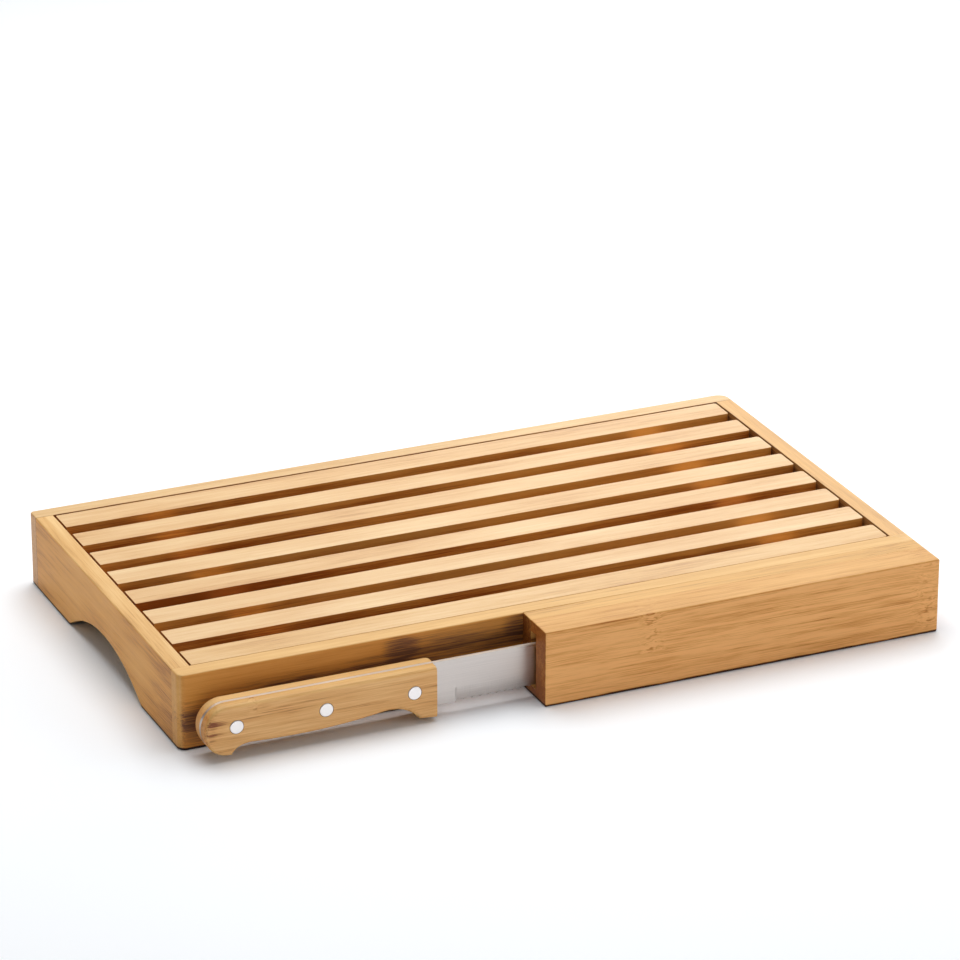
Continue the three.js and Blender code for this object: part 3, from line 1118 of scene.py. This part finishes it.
        self.end_panel("left_end_panel", Bamboo(
            grain=Grain.ALONG_Y, tone=0.66, seed=3, body=(0.655, 0.372, 0.128),
            pale=(0.82, 0.56, 0.26), shine=0.25, roughness=0.5, clouds=0.9, fibres=0.65,
            # Its upright faces get a painted colour cast for the light on them.
            flecks=0.05, flank_shade_tint=(1.15, 0.94, 0.6), flank_figure=0.8,
            seams=(Seam(Lay.UPRIGHT, 195.2, -0.12, 0.08), Seam(Lay.LEVEL, 20.0, 0.03, 0.05)),
            # The patch is painted shade on the front part of its upright faces.
            stains_and_shade=(StainAndShade(-88.0, 14.0, 42.0, 36.0, 0.4, 0.1),)))
        self.end_panel("right_end_panel", Bamboo(
            grain=Grain.ALONG_Y, tone=0.62, seed=4, body=(0.595, 0.33, 0.116),
            # The line at -190.6 mm lies on the inner face and is painted shade in the gap beside
            # the grid; the other two are glue seams.
            seams=(Seam(Lay.UPRIGHT, -190.6, 0.0, 0.35), Seam(Lay.UPRIGHT, -195.6, 0.04, 0.08),
                   Seam(Lay.LEVEL, 19.0, 0.03, 0.05))))
        self.floor()


@dataclass
class KnifeBlock(BoardFrame):
    """The two glued boards that hold the knife.

    Attributes:
        slot_width: Width of the knife slot.
        slot_height: Height of the knife slot.
        slot_floor: Thickness under the slot.
        slot_end_wall: Thickness past the end of the slot.
        corner_round: Radius of the free upright edge at the right.
    """

    slot_width: float = 6.2
    slot_height: float = 29.5
    slot_floor: float = 4.9
    slot_end_wall: float = 14.0
    corner_round: float = 1.0

    def build(self) -> None:
        """Makes the inner ply and the slotted outer board."""
        inner = Blank.block(*self.neighbours["knife_block_inner"])
        self.ease_free_edges(inner, "knife_block_inner")
        self.show(inner, "knife_block_inner_ply", Bamboo(
            # Its upright faces, one of them the back wall of the knife slot, carry painted shade.
            tone=0.64, seed=5, body=(0.635, 0.358, 0.115), end_grain=0.45, shine=0.2, flank_shade=0.15,
            seams=(Seam(Lay.UPRIGHT, -99.0, -0.05, 0.12),),
        ).build("block_inner"), "bamboo_block", "knife_block_inner")

        low, high = self.neighbours["knife_block_outer"]
        outer = Blank.block(low, high)
        outer.round_post(high.x, low.y, self.corner_round, segments=4)
        self.ease_free_edges(outer, "knife_block_outer")
        back = self.neighbours["knife_block_inner"][0].y
        outer.carve(Blank.block(
            Vector((low.x - OVERRUN, back - self.slot_width, self.slot_floor)),
            Vector((high.x - self.slot_end_wall, back + OVERRUN,
                    self.slot_floor + self.slot_height))))
        self.show(outer, "knife_block_outer_board", Bamboo(
            tone=0.56, seed=6, deep=(0.40, 0.15, 0.032), body=(0.62, 0.325, 0.095),
            pale=(0.80, 0.475, 0.184), streaks=0.7, fibres=0.72, flecks=0.08, end_grain=0.46,
            # The front face is painted lighter than the top, as painted light, with a painted
            # colour cast.
            end_tint=(0.88, 0.68, 0.53), flank_shade=-0.26, flank_shade_tint=(1.13, 0.97, 0.88),
            flank_figure=2.2, shine=0.2,
            # The second line darkens the band along the rounded top edge.
            seams=(Seam(Lay.LEVEL, 17.5, 0.04, 0.03), Seam(Lay.LEVEL, 39.6, 0.0, 0.3)),
            knots=(Knot(38.5, 19.0, 39.6, 0.44, 3.8), Knot(194.5, 3.0, 34.0, 0.3, 5.0)),
        ).build("block_outer"), "bamboo_block", "knife_block_outer")


@dataclass
class SlattedGrid(SubAssembly):
    """The lift-out grid: eight slats halved over two battens.

    Attributes:
        corner_round: Radius of the corners at the right ends.
        notch_gap: Clearance of a batten in a notch.
        notch_play: Clearance over a batten.
        easing: Width taken off the edges.
        close_easing: The same on the last slat, which lies close to the front rail.
        batten_easing: Width taken off a batten's edges.
        tones: Lightness of each slat, counted from the back.
        groove_shade: Painted shade on the front face of each slat, from the groove before it.
    """

    body: str = "grid"
    corner_round: float = 1.5
    notch_gap: float = 0.3
    notch_play: float = 0.1
    easing: float = 0.2
    close_easing: float = 0.08
    batten_easing: float = 0.4
    tones: tuple[float, ...] = (0.60, 0.65, 0.62, 0.68, 0.65, 0.67, 0.64, 0.60)
    groove_shade: tuple[float, ...] = (0.11, 0.21, 0.12, 0.17, 0.31, 0.04, 0.29, 0.05)

    def slat(self, index: int, battens: Sequence[tuple[Vector, Vector]]) -> None:
        """Makes a slat, notched over the battens.

        Args:
            index: Its number from the back.
            battens: Lowest and highest corner of each batten.
        """
        node = f"slat_{index + 1}"
        last = index == len(self.tones) - 1
        low, high = node_box(node)
        blank = Blank.block(low, high)
        blank.round_post(high.x, low.y, self.corner_round, segments=5)
        blank.round_post(high.x, high.y, self.corner_round, segments=5)
        blank.ease(self.close_easing if last else self.easing)
        blank.carve(*(Blank.block(
            Vector((start.x - self.notch_gap, low.y - OVERRUN, low.z - OVERRUN)),
            Vector((end.x + self.notch_gap, high.y + OVERRUN, end.z + self.notch_play)))
            for start, end in battens))
        self.show(blank, f"{node}_bar", Bamboo(
            tone=self.tones[index], seed=20 + index, deep=(0.34, 0.12, 0.022),
            # The last slat is a little less blue, which stands for the weaker sheen at the front of
            # the grid.
            body=(0.65, 0.388, 0.147 if last else 0.165), pale=(0.78, 0.56, 0.30), clouds=0.85,
            streaks=0.5, fibres=0.65, flecks=0.15, end_grain=0.5, end_tint=(0.9, 0.66, 0.4),
            # Each slat's front face gets painted shade for the groove before it, and a warm painted
            # cast for the light that the grooves throw about; the last slat, with no groove before
            # it, gets a plainer cast.
            flank_shade=self.groove_shade[index], flank_figure=0.9,
            flank_shade_tint=(1.0, 0.88, 0.7) if last else (1.07, 0.80, 0.36), foot=0.0,
            roughness=0.42, shine=0.45,
            # Painted shade and light on the groove walls: shade low down along the whole slat,
            # shade towards the left end, light right of the middle, and a pale glow over the right
            # batten.
            stains_and_shade=(StainAndShade(0.0, 34.0, 2000.0, 4.5, 0.12, 0.5),
                    StainAndShade(-190.0, 38.0, 200.0, 40.0, 0.11, 0.3),
                    StainAndShade(70.0, 38.0, 75.0, 40.0, -0.10, 0.3),
                    StainAndShade(139.0, 37.0, 10.0, 9.0, -0.12, 0.15)),
        ).build(node), "bamboo_slats", node)

    def batten(self, node: str, finish: Bamboo) -> None:
        """Makes a batten.

        Args:
            node: Its node.
            finish: Its bamboo.
        """
        blank = Blank.block(*node_box(node))
        blank.ease(self.batten_easing, segments=2)
        self.show(blank, f"{node}_bar", finish.build(node), "bamboo_underparts", node)

    def build(self) -> None:
        """Makes the slats and the battens."""
        left, right = "grid_batten_left", "grid_batten_right"
        for index in range(len(self.tones)):
            self.slat(index, (node_box(left), node_box(right)))
        self.batten(left, Bamboo(
            grain=Grain.ALONG_Y, tone=0.62, seed=40, body=(0.66, 0.39, 0.11), foot=0.0))
        # The right batten is paler than the left, as painted light for the stronger light at the
        # right end of the grooves.
        self.batten(right, Bamboo(
            grain=Grain.ALONG_Y, tone=0.74, seed=41, body=(0.80, 0.58, 0.33), foot=0.0))


@dataclass
class BreadKnife(SubAssembly):
    """The bread knife, drawn from the front end of its handle and the line of its tooth tips.

    Attributes:
        blade_height: Height of the blade.
        blade_thickness: Thickness of the steel.
        blade_length: Length of the blade past the handle.
        heel: Length of plain edge before the teeth.
        bevel_height: Height of the ground bevel.
        bevel_run_out: Length over which the bevel starts.
        edge_thickness: Thickness left at the edge.
        tooth_pitch: Length of a tooth.
        tooth_depth: Depth of a tooth's hollow.
        tip_run: Length over which the back drops to the tip.
        nose_height: Height of the tip's nose.
        handle_length: Length of the handle.
        butt_radius: Radius of the butt.
        hook_drop: How far the hook at the butt hangs down.
        hook_flat: Flat under the hook.
        hook_run: Length of the curve before the hook.
        grip_gap: Height of the grip over the tooth line.
        scoop_height: Height of the finger scoop.
        scoop_place: Distance of the scoop from the front end.
        lip_length: Length of the lip at the front end.
        lip_heel_drop: Drop of the lip at its back.
        lip_toe_drop: Drop of the lip at its front.
        lip_round: Radius of the lip's corner.
        top_round: Radius of the top front corner.
        front_set_back: How much shorter the front scale is.
        handle_thickness: Thickness of the handle.
        handle_round: Radius of the rear scale's edges.
        front_round: Radius of the front scale's edges.
        scale_gap: Gap between a scale and the tang.
        rivets: Number of rivets.
        rivet_radius: Radius of a rivet's head.
        rivet_shank: Radius of its shank.
        rivet_head: Depth of its head.
        rivet_proud: How far a rivet stands proud.
        rivet_round: Width taken off the rim of its head.
        rivet_facet: How far the middle of that rounding lies from the head's corner.
        rivet_gap: Clearance round a rivet.
        bore_depth: Depth of a rivet's seat.
        origin: Front end of the handle at the tooth line, found from the CAD nodes.
    """

    body: str = "knife"
    blade_height: float = 23.4
    blade_thickness: float = 1.8
    blade_length: float = 200.0
    heel: float = 10.2
    bevel_height: float = 7.6
    bevel_run_out: float = 0.5
    edge_thickness: float = 0.5
    tooth_pitch: float = 4.4
    tooth_depth: float = 0.8
    tip_run: float = 45.0
    nose_height: float = 3.0
    handle_length: float = 123.3
    butt_radius: float = 12.4
    hook_drop: float = 3.0
    hook_flat: float = 1.6
    hook_run: float = 10.5
    grip_gap: float = 1.9
    scoop_height: float = 4.4
    scoop_place: float = 30.7
    lip_length: float = 11.3
    lip_heel_drop: float = 3.0
    lip_toe_drop: float = 3.9
    lip_round: float = 2.2
    top_round: float = 4.0
    front_set_back: float = 2.6
    handle_thickness: float = 13.8
    handle_round: float = 1.3
    front_round: float = 2.4
    scale_gap: float = 0.1
    rivets: int = 3
    rivet_radius: float = 3.5
    rivet_shank: float = 2.0
    rivet_head: float = 3.2
    rivet_proud: float = 0.2
    rivet_round: float = 0.35
    rivet_facet: float = 0.1
    rivet_gap: float = 0.2
    bore_depth: float = 3.3
    origin: Vector = field(init=False)

    def __post_init__(self) -> None:
        """Finds the place of the knife from its rear scale and its blade."""
        (low, high), scale_end = node_box("knife_blade"), node_box("handle_scale_rear")[1].x
        self.origin = Vector((scale_end, (low.y + high.y) / 2, high.z - self.blade_height))

    def place(self, x: float, z: float) -> Point:
        """Gives the place in the board's frame of a point of the knife's own drawing."""
        return self.origin.x + x, self.origin.z + z

    def round_lip(self, outline: Outline) -> None:
        """Draws the round corner of the lip, from its foot up to the front end."""
        centre = self.place(-self.lip_round, self.lip_round - self.lip_toe_drop)
        outline.arc(centre, degrees=90, steps=6)

    def handle_outline(self, depth: float, set_back: float) -> Outline:
        """Draws the side view of the handle, anticlockwise from its top front corner.

        Args:
            depth: Place along Y.
            set_back: How much is taken off the front end, which is then square.

        Returns:
            The outline.
        """
        at = self.place
        top, hook, gap = self.blade_height, self.hook_drop, self.grip_gap
        butt_x, butt_z = self.butt_radius - self.handle_length, top - self.butt_radius
        hook_x = butt_x + self.hook_flat
        grip_x = hook_x + self.hook_run
        grip_run = -self.scoop_place - grip_x
        scoop_run = self.scoop_place - self.lip_length
        scoop_rise = self.scoop_height + self.lip_heel_drop
        outline = Outline(Drawing.FRONT, at(-(set_back or self.top_round), top), depth)
        outline.line(at(butt_x, top))
        outline.arc(at(butt_x, butt_z), degrees=90, steps=16)
        outline.curve(
            at(butt_x - self.butt_radius, butt_z - CIRCLE_PULL * (butt_z + hook)),
            at(butt_x - CIRCLE_PULL * self.butt_radius, -hook), at(butt_x, -hook), steps=16)
        outline.line(at(hook_x, -hook))
        outline.curve(
            at(hook_x + self.hook_run * 0.17, gap * 0.67 - hook * 0.33),
            at(hook_x + self.hook_run * 0.5, gap), at(grip_x, gap), steps=12)
        outline.curve(
            at(grip_x + 0.33 * grip_run, 0.33 * gap), at(grip_x + 0.67 * grip_run, 0.5 * gap),
            at(-self.scoop_place, self.scoop_height), steps=20)
        outline.curve(
            at(0.5 * scoop_run - self.scoop_place, self.scoop_height + 0.13 * scoop_rise),
            at(0.75 * scoop_run - self.scoop_place, self.scoop_height - 0.25 * scoop_rise),
            at(-self.lip_length, -self.lip_heel_drop), steps=16)
        if set_back:
            share = (self.lip_length - set_back) / (self.lip_length - self.lip_round)
            drop = self.lip_heel_drop + share * (self.lip_toe_drop - self.lip_heel_drop)
            outline.line(at(-set_back, -drop))
        else:
            outline.line(at(-self.lip_round, -self.lip_toe_drop))
            self.round_lip(outline)
            outline.line(at(0.0, top - self.top_round))
            outline.arc(at(-self.top_round, top - self.top_round), degrees=90, steps=8)
        return outline

    def rivet_places(self) -> list[Vector]:
        """Gives the middle of each rivet, counted from the front end."""
        boxes = [node_box(f"handle_rivet_{index + 1}") for index in range(self.rivets)]
        return [(low + high) / 2 for low, high in boxes]

    def scale(self, node: str, side: int, set_back: float, finish: Bamboo) -> None:
        """Makes a handle scale.

        Args:
            node: Its node.
            side: -1 for the front, 1 for the rear.
            set_back: How much shorter it is at the front end.
            finish: Its bamboo.
        """
        inner = self.origin.y + side * (self.blade_thickness / 2 + self.scale_gap)
        outer = self.origin.y + side * self.handle_thickness / 2
        blank = self.handle_outline(inner, set_back).thicken(outer - inner)
        square_end = self.origin.x - set_back

        def on_rim(middle: Vector) -> bool:
            """Says whether an edge is on the outer rim and not on the square front end."""
            on_end = set_back > 0 and abs(middle.x - square_end) < TOLERANCE
            return abs(middle.y - outer) < TOLERANCE and not on_end

        blank.ease(self.front_round if side < 0 else self.handle_round, segments=6, free=on_rim)
        blank.carve(*(Blank.rod(
            self.rivet_radius + self.rivet_gap, Vector((middle.x, outer + side, middle.z)),
            Vector((middle.x, outer - side * self.bore_depth, middle.z)))
            for middle in self.rivet_places()))
        self.show(blank, f"{node}_grip", finish.build(node), "bamboo_handle", node)

    def blade(self, finish: bpy.types.Material) -> None:
        """Makes the tang and the toothed blade.

        Args:
            finish: The steel.
        """
        at, top, length, nose = self.place, self.blade_height, self.blade_length, self.nose_height
        rear = self.origin.y + self.blade_thickness / 2
        outline = Outline(Drawing.FRONT, at(-self.lip_round, -self.lip_toe_drop), rear)
        self.round_lip(outline)
        outline.line(at(0.0, 0.0), at(self.heel, 0.0))
        count = int((length - self.heel - nose) / self.tooth_pitch)
        radius, turn = arc_over(self.tooth_pitch, self.tooth_depth)
        for index in range(count):
            middle = self.heel + (index + 0.5) * self.tooth_pitch
            outline.arc(at(middle, self.tooth_depth - radius), degrees=-turn, steps=8)
        last = self.heel + count * self.tooth_pitch
        outline.curve(at(last + (length - last) * 0.67, 0.0), at(length, nose * 0.33),
                      at(length, nose), steps=8)
        outline.curve(at(length, (nose + top) / 2), at(length - self.tip_run / 2, top),
                      at(length - self.tip_run, top), steps=24)
        outline.line(at(-self.top_round, top))
        tang = self.handle_outline(rear, 0.0)
        corner = Vector(at(-self.lip_round, -self.lip_toe_drop))
        for vert in tang.mesh.verts[1:]:
            if (vert.co.xz - corner).length < TOLERANCE:
                break
            outline.line((vert.co.x, vert.co.z))
        tang.mesh.free()
        blank = outline.thicken(-self.blade_thickness)
        self.grind(blank, rear - self.blade_thickness)
        self.show(blank, "bread_knife_blade", finish, "blade_steel", "knife_blade")

    def grind(self, blank: Blank, front: float) -> None:
        """Grinds the bevel into the front face of the blade.

        Args:
            blank: The flat blade.
            front: Place of its front face along Y.
        """
        heel_x, bevel_z = self.place(self.heel, self.bevel_height)
        blank.split_at([bevel_z], Vector((0, 0, 1)))
        blank.split_at([heel_x - self.bevel_run_out, heel_x], Vector((1, 0, 0)))
        depth = self.blade_thickness - self.edge_thickness
        for vert in blank.mesh.verts:
            below = bevel_z - vert.co.z
            past = vert.co.x - heel_x
            if below > 0 and past > -TOLERANCE and abs(vert.co.y - front) < TOLERANCE:
                vert.co.y += depth * min(1.0, below / self.bevel_height)

    def rivet(self, index: int, middle: Vector) -> None:
        """Turns a rivet.

        Args:
            index: Its number from the front end.
            middle: Its middle.
        """
        node = f"handle_rivet_{index + 1}"
        rim, end = self.rivet_radius, self.handle_thickness / 2 + self.rivet_proud
        half = [(0.0, end), (rim - self.rivet_round, end),
                (rim - self.rivet_facet, end - self.rivet_facet), (rim, end - self.rivet_round),
                (rim, end - self.rivet_head), (self.rivet_shank, end - self.rivet_head)]
        profile = [(r, -y) for r, y in half] + half[::-1]
        mesh = bmesh.new()
        verts = [mesh.verts.new(middle + Vector((r, y, 0.0))) for r, y in profile]
        edges = [mesh.edges.new(pair) for pair in zip(verts, verts[1:])]
        bmesh.ops.spin(
            mesh, geom=verts + edges, cent=middle, axis=(0, 1, 0), angle=2 * math.pi,
            steps=TURNED_STEPS, dvec=(0, 0, 0), use_merge=True, use_duplicate=False)
        bmesh.ops.remove_doubles(mesh, verts=mesh.verts[:], dist=TOLERANCE)
        bmesh.ops.recalc_face_normals(mesh, faces=mesh.faces[:])
        self.show(Blank(mesh), f"{node}_pin", TurnedMetal().build(node, middle), "rivet_metal",
                  node)

    def build(self) -> None:
        """Makes the blade, the scales and the rivets."""
        self.blade(GroundSteel(*self.place(self.heel, self.bevel_height)).build("blade_steel"))
        x, z = self.place(-self.handle_length, 0.0)
        self.scale("handle_scale_front", -1, self.front_set_back, Bamboo(
            tone=0.64, seed=11, deep=(0.22, 0.065, 0.018), body=(0.60, 0.315, 0.092),
            pale=(0.74, 0.46, 0.175), streaks=1.1, fibres=1.0, flecks=0.1,
            # Its front face gets a pale, cool painted cast, which stands for the light on it.
            flank_shade_tint=(1.24, 1.19, 1.32), seams=(Seam(Lay.LEVEL, z + 19.0, 0.06, 0.0),),
            knots=(Knot(x + 26, z + 18, z + 24.5, 0.2, 1.6),),
            stains_and_shade=(StainAndShade(x + 5, z + 15.5, 7, 1.5, 0.5), StainAndShade(x + 6, z + 12.4, 7, 1.2, 0.4),
                    StainAndShade(x + 5, z + 9.8, 6, 1.0, 0.36), StainAndShade(x + 3, z + 13, 3.5, 8, 0.2),
                    StainAndShade(x + 28, z + 20.5, 7, 1.4, 0.25), StainAndShade(x + 29, z + 17.6, 24, 1.2, 0.26),
                    StainAndShade(x + 65, z + 19.0, 50, 1.0, 0.18))))
        self.scale("handle_scale_rear", 1, 0.0, Bamboo(
            tone=0.68, seed=12, body=(0.70, 0.41, 0.15), pale=(0.82, 0.53, 0.23)))
        for index, middle in enumerate(self.rivet_places()):
            self.rivet(index, middle)


@dataclass
class Studio:
    """A pale floor, soft lights and the camera.

    Attributes:
        azimuth: Turn of the view about Z, in degrees.
        elevation: Height of the view above the horizon, in degrees.
        roll: Turn of the picture, in degrees.
        position: Place of the camera in millimetres.
        lens: Focal length in millimetres.
        sensor: Width of the sensor in millimetres.
        sight: How far the camera sees, in metres.
        reach: Width of the floor on each side of the board, in metres.
        paint: Colour of the floor.
        sky: Strength of the even light of the room.
        aim: What the lights point at, in metres.
    """

    azimuth: float = -23.988
    elevation: float = 23.134
    roll: float = 0.055
    position: Place = (-909.7, -2044.5, 1026.6)
    lens: float = 179.89
    sensor: float = 36.0
    sight: float = 100.0
    reach: float = 8.0
    paint: Colour = (0.945, 0.968, 0.995)
    sky: float = 0.25
    aim: Place = (0.0, 0.0, 0.02)

    def camera(self) -> None:
        """Places the camera."""
        data = bpy.data.cameras.new("camera")
        data.lens = self.lens
        data.sensor_width = self.sensor
        data.clip_end = self.sight
        made = bpy.context.scene.camera = add_object("camera", data)
        turn, tilt = math.radians(self.azimuth), math.radians(self.elevation)
        ahead = Vector((-math.sin(turn) * math.cos(tilt), math.cos(turn) * math.cos(tilt),
                        -math.sin(tilt)))
        level = ahead.to_track_quat("-Z", "Y").to_matrix().to_4x4()
        made.rotation_mode = "QUATERNION"
        made.rotation_quaternion = (
            level @ Matrix.Rotation(math.radians(self.roll), 4, "Z")).to_quaternion()
        made.location = Vector(self.position) * MM

    def softbox(self, name: str, place: Place, size: Point, power: float) -> None:
        """Hangs a soft light.

        Args:
            name: Name of the light.
            place: Where it hangs, in metres.
            size: Its width and height, in metres.
            power: Its power in watts.
        """
        data = bpy.data.lights.new(name, "AREA")
        data.shape = "RECTANGLE"
        data.size, data.size_y = size
        data.energy = power
        made = add_object(name, data)
        made.location = place
        made.rotation_euler = (Vector(self.aim) - Vector(place)).to_track_quat("-Z", "Y").to_euler()

    def floor(self) -> None:
        """Lays the pale floor."""
        mesh = bmesh.new()
        bmesh.ops.create_grid(mesh, x_segments=1, y_segments=1, size=self.reach)
        made = add_mesh("studio_floor", mesh)
        made.data.materials.append(Shader("floor_paint").surface({
            "Base Color": (*self.paint, 1.0), "Roughness": 0.9, "Specular IOR Level": 0.2}))

    def world(self) -> None:
        """Lights the room evenly."""
        world = bpy.context.scene.world = bpy.data.worlds.new("studio")
        world.use_nodes = True
        background = world.node_tree.nodes["Background"]
        background.inputs["Color"].default_value = (1.0, 1.0, 1.0, 1.0)
        background.inputs["Strength"].default_value = self.sky
        view = bpy.context.scene.view_settings
        view.view_transform = "Standard"
        view.look = "None"

    def build(self) -> None:
        """Sets up floor, lights and camera."""
        self.camera()
        self.world()
        self.floor()
        for name, place, size, power in (
                ("back_softbox", (0.05, 0.5, 1.12), (1.1, 1.5), 8.8),
                ("top_softbox", (0.05, 0.2, 1.2), (1.1, 1.1), 7.9),
                ("back_panel", (1.75, 2.1, 0.8), (1.8, 0.75), 16.7),
                ("front_strip", (1.6, -1.4, 0.8), (1.4, 0.7), 7.4),
                ("right_fill", (1.1, 0.1, 0.9), (0.8, 0.8), 3.0)):
            self.softbox(name, place, size, power)


def main() -> None:
    """Builds the studio and every sub-assembly."""
    logging.basicConfig(level=logging.INFO, format="%(name)s: %(message)s")
    for assembly in (Studio(), BoardFrame(), KnifeBlock(), SlattedGrid(), BreadKnife()):
        assembly.build()
    bpy.context.view_layer.update()


if __name__ == "__main__":
    main()
